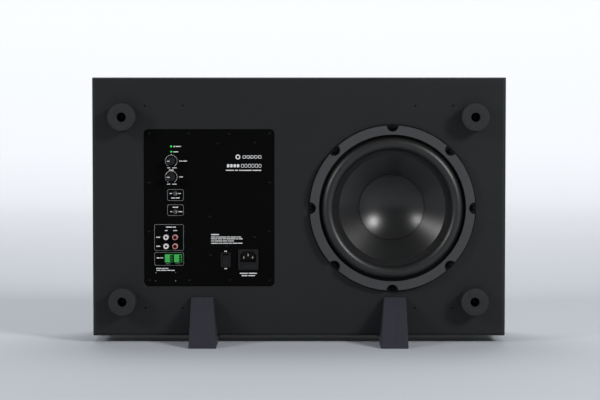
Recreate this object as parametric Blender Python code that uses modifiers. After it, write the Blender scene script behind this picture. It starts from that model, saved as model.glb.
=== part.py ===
"""Powered subwoofer: a flat sealed cabinet held on its long edge by two cradle stands.

Units are metres, +Z up. The origin is on the floor, midway between the stands. The side that
carries the driver, the amplifier plate and the feet looks towards -Y. Positions on that side are
given as X from the cabinet's middle and as a height above the cabinet's lower edge; "out" is the
distance in front of the side's surface, towards -Y, and is negative inside the cabinet.
"""

import math

import bmesh
import bpy
from mathutils import Matrix, Vector

MM = 0.001

# Cabinet
WIDTH = 650 * MM
HEIGHT = 407 * MM
DEPTH = 170 * MM
PANEL = 18 * MM
EDGE_ROUND = 5 * MM
CLEARANCE = 10.5 * MM
FIT = 0.3 * MM
BRACE_X = -12 * MM
BRACE_WIDTH = 16 * MM
BRACE_RAIL = 45 * MM
FACE_Y = -DEPTH / 2
MIDDLE = HEIGHT / 2
FITTINGS_MIDDLE = MIDDLE - 1.4 * MM

# Driver
DRIVER_X = 146.5 * MM
DRIVER_HOLE_R = 117 * MM
FLANGE_R = 132 * MM
RING_R = 131 * MM
RING_INNER_R = 115.3 * MM
RING_OUT = 9.5 * MM
NOTCH_R = 9.2 * MM
NOTCH_CIRCLE_R = 130.2 * MM
SCREW_CIRCLE_R = 126.5 * MM
DRIVER_SCREWS = 8
CAP_R = 51.2 * MM
SURROUND_HEIGHT = 8 * MM
ROLL_FACETS = 6
TURNS = 36
HALF_FACET = math.pi / TURNS

# Amplifier plate
PLATE_X = -141.4 * MM
PLATE_SIZE = (204 * MM, 246 * MM)
PLATE_CORNER = 6 * MM
PLATE_THICK = 3 * MM
GASKET_THICK = 1 * MM
REBATE_DEPTH = PLATE_THICK + GASKET_THICK + 2 * FIT
AMP_OPENING = (176 * MM, 218 * MM)
HOUSING_DEPTH = 64 * MM

# Controls and sockets on the amplifier plate: (X, height)
VOLUME = (-200.8 * MM, 275.9 * MM)
CROSSOVER = (-200.8 * MM, 250.9 * MM)
POWER_LED = (-200.8 * MM, 298.7 * MM)
SIGNAL_LED = (-200.8 * MM, 290.4 * MM)
STANDBY = (-194.4 * MM, 224.8 * MM)
PHASE = (-194.4 * MM, 196.2 * MM)
RCA_CENTRE = (-202.0 * MM, 148.9 * MM)
RCA_PITCH = 14.2 * MM
TERMINAL_1 = (-204.7 * MM, 123.0 * MM)
TERMINAL_2 = (-190.3 * MM, 123.0 * MM)
ROCKER = (-115.5 * MM, 120.1 * MM)
INLET = (-79.9 * MM, 120.6 * MM)
CAVITY = (-80.1 * MM, 125.2 * MM)
CAVITY_SIZE = (24.4 * MM, 16.6 * MM)
DRAWER = (-79.9 * MM, 109.9 * MM)
DRAWER_SIZE = (23.6 * MM, 8.0 * MM)
KNOB_R = 6.85 * MM
SHAFT_R = 2.9 * MM
LEVER_TILT = math.radians(12)
LEVER_PIVOT = -3 * MM
ROCKER_TILT = math.radians(7)
ROCKER_PIVOT = -4 * MM

# Feet and stands
FOOT_R = 21.4 * MM
FOOT_OUT = 25 * MM
FOOT_XS = (-277.0 * MM, 275.2 * MM)
FOOT_HEIGHTS = (55.6 * MM, 344.7 * MM)
STAND_MIDDLE = -0.8 * MM
STAND_X_TOP = 151.7 * MM
STAND_X_FLOOR = 148.0 * MM
STAND_TOP = 72 * MM
STAND_WIDTH_TOP = 34.8 * MM
STAND_WIDTH_FLOOR = 42.7 * MM
STAND_REACH = 78 * MM
STAND_RIDGE = 2 * MM
STAND_FIT = 0.4 * MM


# Scene, collections and materials

for leftover in list(bpy.data.objects):
    bpy.data.objects.remove(leftover, do_unlink=True)


def new_collection(name):
    collection = bpy.data.collections.new(name)
    bpy.context.scene.collection.children.link(collection)
    return collection


parts = new_collection("powered_subwoofer")
cutters = new_collection("cutters")


def new_material(name, colour, roughness, metallic=0.0):
    material = bpy.data.materials.new(name)
    material.use_nodes = True
    shader = material.node_tree.nodes["Principled BSDF"]
    shader.inputs["Base Color"].default_value = (*colour, 1.0)
    shader.inputs["Roughness"].default_value = roughness
    shader.inputs["Metallic"].default_value = metallic
    return material


PALETTE = {
    "cabinet_paint": new_material("cabinet_paint", (0.019, 0.021, 0.025), 0.6),
    "raw_board": new_material("raw_board", (0.36, 0.25, 0.15), 0.85),
    "foot_rubber": new_material("foot_rubber", (0.02, 0.02, 0.022), 0.75),
    "stand_plastic": new_material("stand_plastic", (0.036, 0.037, 0.047), 0.55),
    "basket_steel": new_material("basket_steel", (0.01, 0.01, 0.011), 0.5, 0.3),
    "ring_rubber": new_material("ring_rubber", (0.056, 0.057, 0.062), 0.6),
    "surround_rubber": new_material("surround_rubber", (0.012, 0.012, 0.013), 0.45),
    "cone_paper": new_material("cone_paper", (0.02, 0.021, 0.023), 0.5),
    "spider_cloth": new_material("spider_cloth", (0.5, 0.35, 0.15), 0.9),
    "former_foil": new_material("former_foil", (0.75, 0.75, 0.75), 0.4, 1.0),
    "copper": new_material("copper", (0.8, 0.35, 0.15), 0.35, 1.0),
    "zinc_steel": new_material("zinc_steel", (0.6, 0.6, 0.58), 0.35, 1.0),
    "ferrite": new_material("ferrite", (0.03, 0.03, 0.032), 0.7),
    "black_steel": new_material("black_steel", (0.01, 0.01, 0.01), 0.4, 0.6),
    "plate_paint": new_material("plate_paint", (0.0035, 0.0035, 0.004), 0.5),
    "foam": new_material("foam", (0.01, 0.01, 0.01), 0.95),
    "circuit_green": new_material("circuit_green", (0.02, 0.12, 0.05), 0.5),
    "knob_plastic": new_material("knob_plastic", (0.012, 0.012, 0.013), 0.5),
    "led_green": new_material("led_green", (0.05, 0.6, 0.15), 0.2),
    "nickel": new_material("nickel", (0.7, 0.7, 0.7), 0.25, 1.0),
    "socket_plastic": new_material("socket_plastic", (0.02, 0.02, 0.021), 0.45),
    "terminal_green": new_material("terminal_green", (0.06, 0.55, 0.1), 0.45),
    "brass_pin": new_material("brass_pin", (0.75, 0.62, 0.35), 0.3, 1.0),
    "fuse_glass": new_material("fuse_glass", (0.8, 0.85, 0.85), 0.1),
}


# Modelling helpers


def at(x, height, out=0.0):
    """The point at X, height above the cabinet's lower edge, and distance out from its face."""
    return Vector((x, FACE_Y - out, CLEARANCE + height))


def add(name, mesh, material, location=(0, 0, 0), rotation=(0, 0, 0)):
    piece = bpy.data.objects.new(name, mesh)
    parts.objects.link(piece)
    mesh.materials.clear()
    mesh.materials.append(PALETTE[material])
    piece.location = location
    piece.rotation_euler = rotation
    return piece


def mesh_from(bm, name):
    bmesh.ops.recalc_face_normals(bm, faces=bm.faces)
    mesh = bpy.data.meshes.new(name)
    bm.to_mesh(mesh)
    bm.free()
    return mesh


def box_mesh(name, size, corner=0.0, corner_axis=1, segments=3):
    """A box about its own centre, with the four edges along corner_axis rounded."""
    bm = bmesh.new()
    bmesh.ops.create_cube(bm, size=1.0)
    bmesh.ops.scale(bm, vec=Vector(size), verts=bm.verts)
    if corner > 0:
        others = [i for i in range(3) if i != corner_axis]
        edges = [
            e for e in bm.edges
            if all(abs(e.verts[0].co[i] - e.verts[1].co[i]) < 1e-7 for i in others)
        ]
        bmesh.ops.bevel(bm, geom=edges, offset=corner, segments=segments, affect="EDGES",
                        profile=0.5)
    return mesh_from(bm, name)


def box(name, low, high, material, **rounding):
    """A box between two corners, with its origin at its centre."""
    low, high = Vector(low), Vector(high)
    return add(name, box_mesh(name, high - low, **rounding), material, (low + high) / 2)


def slab(name, place, size, out_from, out_to, material, **rounding):
    """A box centred at (X, height) = place, size = (wide, high), between two distances out."""
    centre = at(*place, (out_from + out_to) / 2)
    mesh = box_mesh(name, (size[0], abs(out_to - out_from), size[1]), **rounding)
    return add(name, mesh, material, centre)


def turned(name, profile, place, material, steps=TURNS, closed=False, start=0.0):
    """A solid turned about the out direction: profile holds (radius, out) in millimetres.

    It runs down the outer side from the front to the back; a closed profile makes a ring.
    start is the angle of the first facet's edge, so that holes needn't meet an edge.
    """
    mesh = bpy.data.meshes.new(name)
    points = [(r * MM * math.cos(start), r * MM * math.sin(start), out * MM)
              for r, out in profile]
    edges = [(i, i + 1) for i in range(len(points) - 1)]
    if closed:
        edges.append((len(points) - 1, 0))
    mesh.from_pydata(points, edges, [])
    piece = add(name, mesh, material, at(*place), (math.radians(90), 0, 0))
    screw = piece.modifiers.new("turn", "SCREW")
    screw.axis = "Z"
    screw.angle = math.tau
    screw.steps = steps
    screw.render_steps = steps
    screw.use_merge_vertices = True
    screw.merge_threshold = 0.00001
    screw.use_smooth_shade = True
    return piece


def prism(name, outline, low, high, material, axis="X"):
    """An outline in the plane across axis, run straight between low and high along it."""
    bm = bmesh.new()
    if axis == "X":
        corners = [bm.verts.new((low, a, b)) for a, b in outline]
        along = Vector((high - low, 0, 0))
    else:
        corners = [bm.verts.new((a, low, b)) for a, b in outline]
        along = Vector((0, high - low, 0))
    face = bm.faces.new(corners)
    grown = bmesh.ops.extrude_face_region(bm, geom=[face])
    moved = [v for v in grown["geom"] if isinstance(v, bmesh.types.BMVert)]
    bmesh.ops.translate(bm, vec=along, verts=moved)
    return add(name, mesh_from(bm, name), material)


def as_cutter(piece):
    parts.objects.unlink(piece)
    cutters.objects.link(piece)
    piece.hide_render = True
    piece.display_type = "WIRE"
    return piece


def combine(piece, other, operation="DIFFERENCE"):
    boolean = piece.modifiers.new(operation.lower(), "BOOLEAN")
    boolean.operation = operation
    boolean.solver = "EXACT"
    boolean.object = as_cutter(other)


def drill(piece, place, radius, out_from, out_to, sides=24):
    """A round hole along the out direction, between two distances out."""
    bm = bmesh.new()
    bmesh.ops.create_cone(bm, cap_ends=True, segments=sides, radius1=radius, radius2=radius,
                          depth=abs(out_to - out_from))
    bmesh.ops.rotate(bm, matrix=Matrix.Rotation(math.radians(90), 3, "X"), verts=bm.verts)
    middle = at(*place, (out_from + out_to) / 2)
    combine(piece, add(f"hole_{piece.name}", mesh_from(bm, "hole"), "black_steel", middle))


def window(piece, place, size, out_from, out_to, **rounding):
    """A rectangular opening along the out direction, between two distances out."""
    combine(piece, slab(f"window_{piece.name}", place, size, out_from, out_to, "black_steel",
                        **rounding))


def ring_places(count, radius, centre, phase=0.0):
    """Places spread evenly on a circle about centre."""
    for i in range(count):
        turn = phase + i * math.tau / count
        yield centre[0] + radius * math.cos(turn), centre[1] + radius * math.sin(turn)


DRIVER = (DRIVER_X, FITTINGS_MIDDLE)
PLATE = (PLATE_X, FITTINGS_MIDDLE)


# Cabinet


def round_face_edges(piece, y_local):
    """Rounds the four edges of a full-size panel that lie in its outer face."""
    bm = bmesh.new()
    bm.from_mesh(piece.data)
    edges = [e for e in bm.edges if all(abs(v.co.y - y_local) < 1e-6 for v in e.verts)]
    bmesh.ops.bevel(bm, geom=edges, offset=EDGE_ROUND, segments=3, affect="EDGES", profile=0.5)
    bm.to_mesh(piece.data)
    bm.free()


def make_baffle():
    low = (-WIDTH / 2, FACE_Y, CLEARANCE)
    high = (WIDTH / 2, FACE_Y + PANEL, CLEARANCE + HEIGHT)
    baffle = box("driver_baffle", low, high, "cabinet_paint")
    round_face_edges(baffle, -PANEL / 2)
    drill(baffle, DRIVER, DRIVER_HOLE_R, 5 * MM, -PANEL - 5 * MM, sides=TURNS)
    rebate = (PLATE_SIZE[0] + 1.2 * MM, PLATE_SIZE[1] + 1.2 * MM)
    window(baffle, PLATE, rebate, 5 * MM, -REBATE_DEPTH, corner=PLATE_CORNER + FIT)
    window(baffle, PLATE, AMP_OPENING, 0, -PANEL - 5 * MM)
    for place in ring_places(DRIVER_SCREWS, SCREW_CIRCLE_R, DRIVER):
        drill(baffle, place, 2.4 * MM, 5 * MM, -15 * MM, sides=8)


def make_carcass():
    inner_y = -FACE_Y - PANEL - FIT
    top = CLEARANCE + HEIGHT
    box("rear_panel", (-WIDTH / 2, -FACE_Y - PANEL, CLEARANCE), (WIDTH / 2, -FACE_Y, top),
        "cabinet_paint")
    round_face_edges(bpy.data.objects["rear_panel"], PANEL / 2)
    box("top_panel", (-WIDTH / 2, -inner_y, top - PANEL), (WIDTH / 2, inner_y, top),
        "cabinet_paint")
    box("bottom_panel", (-WIDTH / 2, -inner_y, CLEARANCE),
        (WIDTH / 2, inner_y, CLEARANCE + PANEL), "cabinet_paint")
    low, high = CLEARANCE + PANEL + FIT, top - PANEL - FIT
    box("left_panel", (-WIDTH / 2, -inner_y, low), (-WIDTH / 2 + PANEL, inner_y, high),
        "cabinet_paint")
    box("right_panel", (WIDTH / 2 - PANEL, -inner_y, low), (WIDTH / 2, inner_y, high),
        "cabinet_paint")
    brace = box("inner_brace", (BRACE_X - BRACE_WIDTH / 2, -inner_y, low),
                (BRACE_X + BRACE_WIDTH / 2, inner_y, high), "raw_board")
    opening = box("brace_window", (BRACE_X - BRACE_WIDTH, -inner_y + BRACE_RAIL / 2,
                                   low + BRACE_RAIL),
                  (BRACE_X + BRACE_WIDTH, inner_y - BRACE_RAIL / 2, high - BRACE_RAIL),
                  "raw_board", corner=20 * MM, corner_axis=0)
    combine(brace, opening)


def make_foot(index, place):
    """A rubber foot, with a deep counterbore for the screw that holds it."""
    rim, front = FOOT_R / MM, FOOT_OUT / MM
    profile = [(rim - 0.7, front), (rim, front - 0.7), (rim, 0.3), (2.6, 0.3), (2.6, 6),
               (7.5, 6), (7.5, front)]
    turned(f"foot_{index}", profile, place, "foot_rubber", steps=20, closed=True)


def make_feet():
    places = [(x, height) for height in FOOT_HEIGHTS for x in FOOT_XS]
    for index, place in enumerate(places, 1):
        make_foot(index, place)


def make_stand(name, hand):
    """A cradle: a base that runs under the cabinet, with a wedge rising in front and behind.

    hand is -1 on the left and 1 on the right; the wedges lean a little away from the middle.
    """
    inner = DEPTH / 2 + STAND_FIT
    toe = DEPTH / 2 + STAND_REACH
    base = CLEARANCE - FIT
    front = [(-toe, 0), (-toe, 2.5 * MM), (-inner - 5 * MM, STAND_TOP), (-inner, STAND_TOP),
             (-inner, base)]
    outline = front + [(-y, z) for y, z in reversed(front)]
    bm = bmesh.new()
    rings = []
    for side, ridge in ((-1, 0.0), (0, STAND_RIDGE), (1, 0.0)):
        ring = []
        for y, z in outline:
            rise = z / STAND_TOP
            half = (STAND_WIDTH_FLOOR + (STAND_WIDTH_TOP - STAND_WIDTH_FLOOR) * rise) / 2
            x = STAND_MIDDLE + hand * (STAND_X_FLOOR + (STAND_X_TOP - STAND_X_FLOOR) * rise)
            sloping = abs(y) > inner + MM and z > 0
            push = math.copysign(ridge, y) if sloping else 0.0
            ring.append(bm.verts.new((x + side * half, y + push, z)))
        rings.append(ring)
    bm.faces.new(rings[0])
    bm.faces.new(rings[2])
    count = len(outline)
    for one, two in zip(rings, rings[1:]):
        for i in range(count):
            bm.faces.new((one[i], one[(i + 1) % count], two[(i + 1) % count], two[i]))
    add(name, mesh_from(bm, name), "stand_plastic")


# Driver


def make_basket():
    flange = FLANGE_R / MM
    profile = [(flange, 2.1), (flange, 0.3), (115.5, 0.3), (115.5, -11), (77.5, -56), (77.5, -62),
               (64, -62), (64, -75), (30, -75), (30, -72), (60, -72), (60, -57), (74.5, -57),
               (74.5, -54), (111.5, -10), (111.5, 2.1)]
    basket = turned("driver_basket", profile, DRIVER, "basket_steel", closed=True,
                    start=HALF_FACET)
    for place in ring_places(DRIVER_SCREWS, SCREW_CIRCLE_R, DRIVER):
        drill(basket, place, 2.4 * MM, 5 * MM, -3 * MM, sides=8)
    for index in range(4):
        turn = math.radians(45 + 90 * index)
        middle = (DRIVER[0] + 94 * MM * math.cos(turn), DRIVER[1] + 94 * MM * math.sin(turn))
        drill(basket, middle, 14 * MM, -4 * MM, -61 * MM, sides=16)


def make_trim_ring():
    outer, inner, front = RING_R / MM, RING_INNER_R / MM, RING_OUT / MM
    profile = [(outer - 0.8, front), (outer, front - 0.8), (outer, 3.5), (inner, 3.5),
               (inner, front - 0.8), (inner + 0.8, front)]
    ring = turned("trim_ring", profile, DRIVER, "ring_rubber", steps=48, closed=True)
    for place in ring_places(DRIVER_SCREWS, NOTCH_CIRCLE_R, DRIVER):
        drill(ring, place, NOTCH_R, 15 * MM, 1 * MM, sides=20)


def make_surround():
    """A half-roll of rubber between two flat lips, one under the ring and one on the cone."""
    thick = 0.7
    inner, outer = 91.8, 112.0
    middle, half = (inner + outer) / 2, (outer - inner) / 2

    def roll(extra):
        for i in range(ROLL_FACETS + 1):
            turn = math.pi * i / ROLL_FACETS
            yield (middle - (half + extra) * math.cos(turn),
                   2.7 + extra + SURROUND_HEIGHT / MM * math.sin(turn))

    top = list(roll(thick / 2))
    under = list(roll(-thick / 2))
    profile = [(86.5, 3.4)] + top + [(120.5, 3.2), (120.5, 2.4)] + under[::-1] + [(86.5, 2.7)]
    turned("surround", profile, DRIVER, "surround_rubber", closed=True)


def make_cone():
    profile = [(91.3, 2.4), (91.3, 0.9), (86.2, 0.9), (27.5, -39), (27.5, -41), (25.9, -41),
               (25.9, -38), (85.5, 2.4)]
    turned("cone", profile, DRIVER, "cone_paper", closed=True)


def make_dust_cap():
    """A dish whose rim slopes almost like the cone around it."""
    rim, deep, rise, thick = CAP_R / MM, -38.3, 18.7, 0.8

    def dish(r):
        return deep + rise * (r / rim) ** 2

    radii = [rim * k / 4 for k in range(5)]
    front = [(r, dish(r)) for r in radii]
    back = [(r, dish(r) - thick) for r in reversed(radii)]
    turned("dust_cap", front + back, DRIVER, "cone_paper")


def make_motor():
    turned("coil_former", [(25.6, -37), (25.6, -95), (25.1, -95), (25.1, -37)], DRIVER,
           "former_foil", steps=24, closed=True)
    turned("voice_coil", [(26.8, -70), (26.8, -92), (25.9, -92), (25.9, -70)], DRIVER,
           "copper", steps=24, closed=True)
    turned("top_plate", [(60, -75.3), (60, -83.3), (27.5, -83.3), (27.5, -75.3)], DRIVER,
           "zinc_steel", steps=24, closed=True)
    turned("magnet", [(62, -83.6), (62, -108.6), (33, -108.6), (33, -83.6)], DRIVER, "ferrite",
           steps=24, closed=True)
    turned("pole_yoke", [(24.4, -76), (24.4, -108.9), (60, -108.9), (60, -118.9), (8, -118.9),
                         (8, -76)], DRIVER, "zinc_steel", steps=24, closed=True)


def make_spider():
    """The corrugated cloth disc that centres the coil, seated on the basket's ledge."""
    waves, inner, outer = 3, 31.0, 58.0

    def sheet(level):
        yield 26.1, level
        for i in range(2 * waves + 1):
            rise = 1.4 * math.sin(math.pi * i / 2) if 0 < i < 2 * waves else 0.0
            yield inner + (outer - inner) * i / (2 * waves), level + (rise if i % 2 else 0.0)
        yield 73.9, level

    top = list(sheet(-55.9))
    under = list(sheet(-56.7))
    turned("spider", top[::-1] + under, DRIVER, "spider_cloth", steps=24, closed=True)
    flip_inside_out("spider")


def flip_inside_out(name):
    """Reverses a turned piece whose profile was written from the outer rim inwards."""
    screw = bpy.data.objects[name].modifiers["turn"]
    screw.use_normal_flip = not screw.use_normal_flip


def make_driver_screws():
    profile = [(0, 5.6), (2.7, 5.5), (3.8, 4.4), (3.8, 2.4), (1.9, 2.4), (1.9, -12), (0, -13.5)]
    for index, place in enumerate(ring_places(DRIVER_SCREWS, SCREW_CIRCLE_R, DRIVER), 1):
        turned(f"driver_screw_{index}", profile, place, "black_steel", steps=12)


# Amplifier


def make_amp_plate():
    plate = slab("amp_plate", PLATE, PLATE_SIZE, 0, -PLATE_THICK, "plate_paint",
                 corner=PLATE_CORNER)
    front, back = 5 * MM, -8 * MM
    for place in (VOLUME, CROSSOVER):
        drill(plate, place, 4 * MM, front, back, sides=16)
    for place in (POWER_LED, SIGNAL_LED):
        drill(plate, place, 1.8 * MM, front, back, sides=12)
    for place in (STANDBY, PHASE):
        drill(plate, place, 3.7 * MM, front, back, sides=16)
    for place in rca_places():
        drill(plate, place, 4.7 * MM, front, back, sides=12)
    middle = ((TERMINAL_1[0] + TERMINAL_2[0]) / 2, TERMINAL_1[1])
    window(plate, middle, (29.2 * MM, 14.2 * MM), front, back)
    window(plate, ROCKER, (13.6 * MM, 21.2 * MM), front, back)
    window(plate, INLET, (28.6 * MM, 30 * MM), front, back)


def make_amp_frame():
    gasket = slab("amp_gasket", PLATE, (202 * MM, 244 * MM), -PLATE_THICK - FIT,
                  -PLATE_THICK - FIT - GASKET_THICK, "foam", corner=PLATE_CORNER)
    window(gasket, PLATE, (180 * MM, 222 * MM), 0, -10 * MM)
    back = -PLATE_THICK - FIT
    housing = slab("amp_housing", PLATE, (172 * MM, 214 * MM), back, back - HOUSING_DEPTH,
                   "zinc_steel")
    window(housing, PLATE, (169 * MM, 211 * MM), 0, back - HOUSING_DEPTH + 1.5 * MM)
    board = slab("circuit_board", PLATE, (150 * MM, 190 * MM), -36 * MM, -37.6 * MM,
                 "circuit_green")
    window(board, (PLATE_X - 20 * MM, PLATE[1]), (30 * MM, 20 * MM), -30 * MM, -45 * MM)
    slab("transformer", (-120 * MM, 240 * MM), (52 * MM, 44 * MM), -6 * MM, -35.7 * MM, "ferrite",
         corner=3 * MM)


def make_pot(name, place):
    profile = [(0, -10), (3.1, -10), (3.1, 2), (3.6, 2), (3.6, -3.3), (8, -3.3), (8, -12),
               (0, -12)]
    turned(name, profile, place, "zinc_steel", steps=16)


def make_knob(name, place):
    """A knob on its shaft; its pointer groove faces the mark that it rests at."""
    profile = [(0, 14), (5.6, 14), (6.3, 13.4), (KNOB_R / MM, 3), (SHAFT_R / MM, 3),
               (SHAFT_R / MM, -9), (0, -9)]
    knob = turned(name, profile, place, "knob_plastic", steps=24)
    groove = slab(f"groove_{name}", (place[0] - 4.5 * MM, place[1]), (6 * MM, 1.4 * MM),
                  20 * MM, 13.2 * MM, "black_steel")
    combine(knob, groove)


def make_led(name, place):
    turned(name, [(0, 1.4), (0.9, 1.15), (1.5, 0.3), (1.5, -6), (0, -6)], place, "led_green",
           steps=12)


def make_toggle(name, place):
    """A small lever switch: a threaded collar in front and its sealed body behind."""
    profile = [(0, -6), (2.5, -6), (2.5, 1.5), (3.4, 1.5), (3.4, -3.3), (6, -3.3), (6, -15),
               (0, -15)]
    turned(f"{name}_switch", profile, place, "nickel", steps=12)
    lever = turned(f"{name}_lever", [(0, 10.5), (0.9, 10.2), (1.25, 9.2), (0.85, 0), (0.85, -1.5),
                                     (0, -1.5)], place, "nickel", steps=8)
    lever.location = at(*place, LEVER_PIVOT)
    lever.rotation_euler = (Matrix.Rotation(LEVER_TILT, 3, "Z")
                            @ Matrix.Rotation(math.radians(90), 3, "X")).to_euler()


def rca_places():
    half = RCA_PITCH / 2
    return [(RCA_CENTRE[0] + i * half, RCA_CENTRE[1] + j * half) for j in (1, -1) for i in (-1, 1)]


def make_rca_block():
    block = slab("rca_block", RCA_CENTRE, (31 * MM, 30 * MM), -PLATE_THICK - FIT, -20 * MM,
                 "socket_plastic")
    for index, place in enumerate(rca_places(), 1):
        barrel = turned(f"rca_barrel_{index}", [(0, 8), (3.6, 8), (4.2, 7.4), (4.2, -10),
                                                (0, -10)], place, "socket_plastic", steps=14)
        combine(block, barrel, "UNION")
    for place in rca_places():
        drill(block, place, 1.7 * MM, 12 * MM, -8 * MM, sides=12)


def make_terminal(index, place):
    """A header fixed in the plate and the screw-terminal plug that pulls out of it."""
    header = slab(f"terminal_header_{index}", place, (13.8 * MM, 13.4 * MM), 0.8 * MM, -14 * MM,
                  "terminal_green")
    window(header, place, (12.0 * MM, 11.6 * MM), 5 * MM, -12.5 * MM)
    plug = slab(f"terminal_plug_{index}", place, (11.4 * MM, 11.0 * MM), 2 * MM, -11 * MM,
                "terminal_green")
    head = slab(f"plug_head_{index}", place, (12.2 * MM, 12.2 * MM), 7.5 * MM, 1.2 * MM,
                "terminal_green")
    combine(plug, head, "UNION")
    for step in (-1, 0, 1):
        wire_hole = (place[0] + 4.2 * MM, place[1] + step * 3.81 * MM)
        window(plug, wire_hole, (2.2 * MM, 2.4 * MM), 12 * MM, 2 * MM)


def make_rocker_switch():
    housing = slab("rocker_housing", ROCKER, (15.7 * MM, 23.2 * MM), 1.8 * MM, FIT,
                   "socket_plastic", corner=1 * MM)
    body = slab("rocker_case", ROCKER, (13 * MM, 20.6 * MM), 1 * MM, -17 * MM, "socket_plastic")
    combine(housing, body, "UNION")
    window(housing, ROCKER, (11.2 * MM, 19.8 * MM), 5 * MM, -9 * MM)
    pivot = at(*ROCKER, ROCKER_PIVOT)
    ends = 8.7 * MM
    outline = [(-5.2 * MM, 0), (-7.2 * MM, ends), (-0.5 * MM, 9.3 * MM), (3.2 * MM, 3 * MM),
               (3.2 * MM, -3 * MM), (-0.5 * MM, -9.3 * MM), (-7.2 * MM, -ends)]
    rocker = prism("power_rocker", outline, -5.3 * MM, 5.3 * MM, "socket_plastic")
    rocker.location = pivot
    rocker.rotation_euler = (ROCKER_TILT, 0, 0)


def make_mains_inlet():
    """A flanged inlet with an open cavity for the mains plug above a fuse drawer."""
    inlet = slab("mains_inlet", INLET, (32 * MM, 33.3 * MM), 3 * MM, FIT, "socket_plastic",
                 corner=2 * MM)
    body = slab("inlet_body", INLET, (28 * MM, 29.4 * MM), 1 * MM, -26 * MM, "socket_plastic")
    combine(inlet, body, "UNION")
    wide, high = CAVITY_SIZE[0] / 2, CAVITY_SIZE[1] / 2
    chamfer = 5 * MM
    x, z = CAVITY[0], CAVITY[1] + CLEARANCE
    outline = [(x - wide, z - high), (x + wide, z - high), (x + wide, z + high - chamfer),
               (x + wide - chamfer, z + high), (x - wide + chamfer, z + high),
               (x - wide, z + high - chamfer)]
    cavity = prism("inlet_cavity", outline, FACE_Y - 8 * MM, FACE_Y + 14 * MM, "black_steel",
                   axis="Y")
    combine(inlet, cavity)
    slot = (DRAWER_SIZE[0] + 0.8 * MM, DRAWER_SIZE[1] + 0.8 * MM)
    window(inlet, DRAWER, slot, 8 * MM, -21 * MM)
    pins = {"inlet_live_pin": (-7 * MM, -1.2 * MM), "inlet_earth_pin": (0, 2.8 * MM),
            "inlet_neutral_pin": (7 * MM, -1.2 * MM)}
    for name, (dx, dz) in pins.items():
        slab(name, (x + dx, CAVITY[1] + dz), (2 * MM, 4 * MM), -1 * MM, -14 * MM + FIT,
             "brass_pin")


def make_fuse_drawer():
    drawer = slab("fuse_drawer", DRAWER, DRAWER_SIZE, 3.8 * MM, -20 * MM, "socket_plastic")
    window(drawer, DRAWER, (20.8 * MM, 5.9 * MM), -11 * MM, -25 * MM)
    fuse = turned("fuse", [(0, 10), (2.6, 10), (2.6, -10), (0, -10)], DRAWER, "fuse_glass",
                  steps=16)
    fuse.location = at(*DRAWER, -15 * MM)
    fuse.rotation_euler = (0, math.radians(90), 0)


def make_amplifier():
    make_amp_plate()
    make_amp_frame()
    for name, place in (("volume", VOLUME), ("crossover", CROSSOVER)):
        make_pot(f"{name}_pot", place)
        make_knob(f"{name}_knob", place)
    make_led("power_led", POWER_LED)
    make_led("signal_led", SIGNAL_LED)
    make_toggle("standby", STANDBY)
    make_toggle("phase", PHASE)
    make_rca_block()
    make_terminal(1, TERMINAL_1)
    make_terminal(2, TERMINAL_2)
    make_rocker_switch()
    make_mains_inlet()
    make_fuse_drawer()


def make_driver():
    make_basket()
    make_trim_ring()
    make_surround()
    make_cone()
    make_dust_cap()
    make_motor()
    make_spider()
    make_driver_screws()


make_baffle()
make_carcass()
make_feet()
make_stand("stand_left", -1)
make_stand("stand_right", 1)
make_driver()
make_amplifier()
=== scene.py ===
"""The looks of a powered subwoofer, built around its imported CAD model.

Lengths are in metres unless a comment says otherwise, and profiles and layouts are written in
millimetres. "Out" is the distance in front of the cabinet's driver side, towards -Y.
"""

import math

import bmesh
import bpy
from mathutils import Matrix, Vector
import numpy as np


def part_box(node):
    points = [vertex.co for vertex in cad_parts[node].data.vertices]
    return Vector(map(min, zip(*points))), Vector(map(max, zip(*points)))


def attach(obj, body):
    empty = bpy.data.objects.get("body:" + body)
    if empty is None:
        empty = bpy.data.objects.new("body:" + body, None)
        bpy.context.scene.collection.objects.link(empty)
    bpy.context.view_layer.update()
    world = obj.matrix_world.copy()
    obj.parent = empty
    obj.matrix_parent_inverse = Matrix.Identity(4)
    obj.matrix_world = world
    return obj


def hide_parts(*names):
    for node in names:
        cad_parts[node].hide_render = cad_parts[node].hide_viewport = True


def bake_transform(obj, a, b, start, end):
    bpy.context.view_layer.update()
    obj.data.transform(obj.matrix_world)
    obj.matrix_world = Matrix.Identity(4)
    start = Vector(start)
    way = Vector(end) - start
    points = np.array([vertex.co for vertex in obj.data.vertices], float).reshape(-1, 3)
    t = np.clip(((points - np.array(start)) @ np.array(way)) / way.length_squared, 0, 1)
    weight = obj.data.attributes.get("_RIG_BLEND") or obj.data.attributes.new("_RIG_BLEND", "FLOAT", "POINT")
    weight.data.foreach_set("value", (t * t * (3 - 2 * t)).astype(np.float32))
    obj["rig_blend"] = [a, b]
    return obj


MM = 0.001
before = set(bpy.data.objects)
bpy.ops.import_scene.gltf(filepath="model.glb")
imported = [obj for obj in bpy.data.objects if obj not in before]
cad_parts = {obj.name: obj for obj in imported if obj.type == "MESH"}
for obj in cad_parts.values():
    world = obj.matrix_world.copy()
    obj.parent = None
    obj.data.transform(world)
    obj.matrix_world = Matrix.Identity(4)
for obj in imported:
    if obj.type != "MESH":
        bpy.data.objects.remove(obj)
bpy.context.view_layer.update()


def corners(*names):
    """The lowest and highest corner of several CAD nodes together."""
    boxes = [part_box(name) for name in names]
    low = Vector(min(b[0][i] for b in boxes) for i in range(3))
    high = Vector(max(b[1][i] for b in boxes) for i in range(3))
    return low, high


def centre(name):
    low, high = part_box(name)
    return (Vector(low) + Vector(high)) / 2


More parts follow.
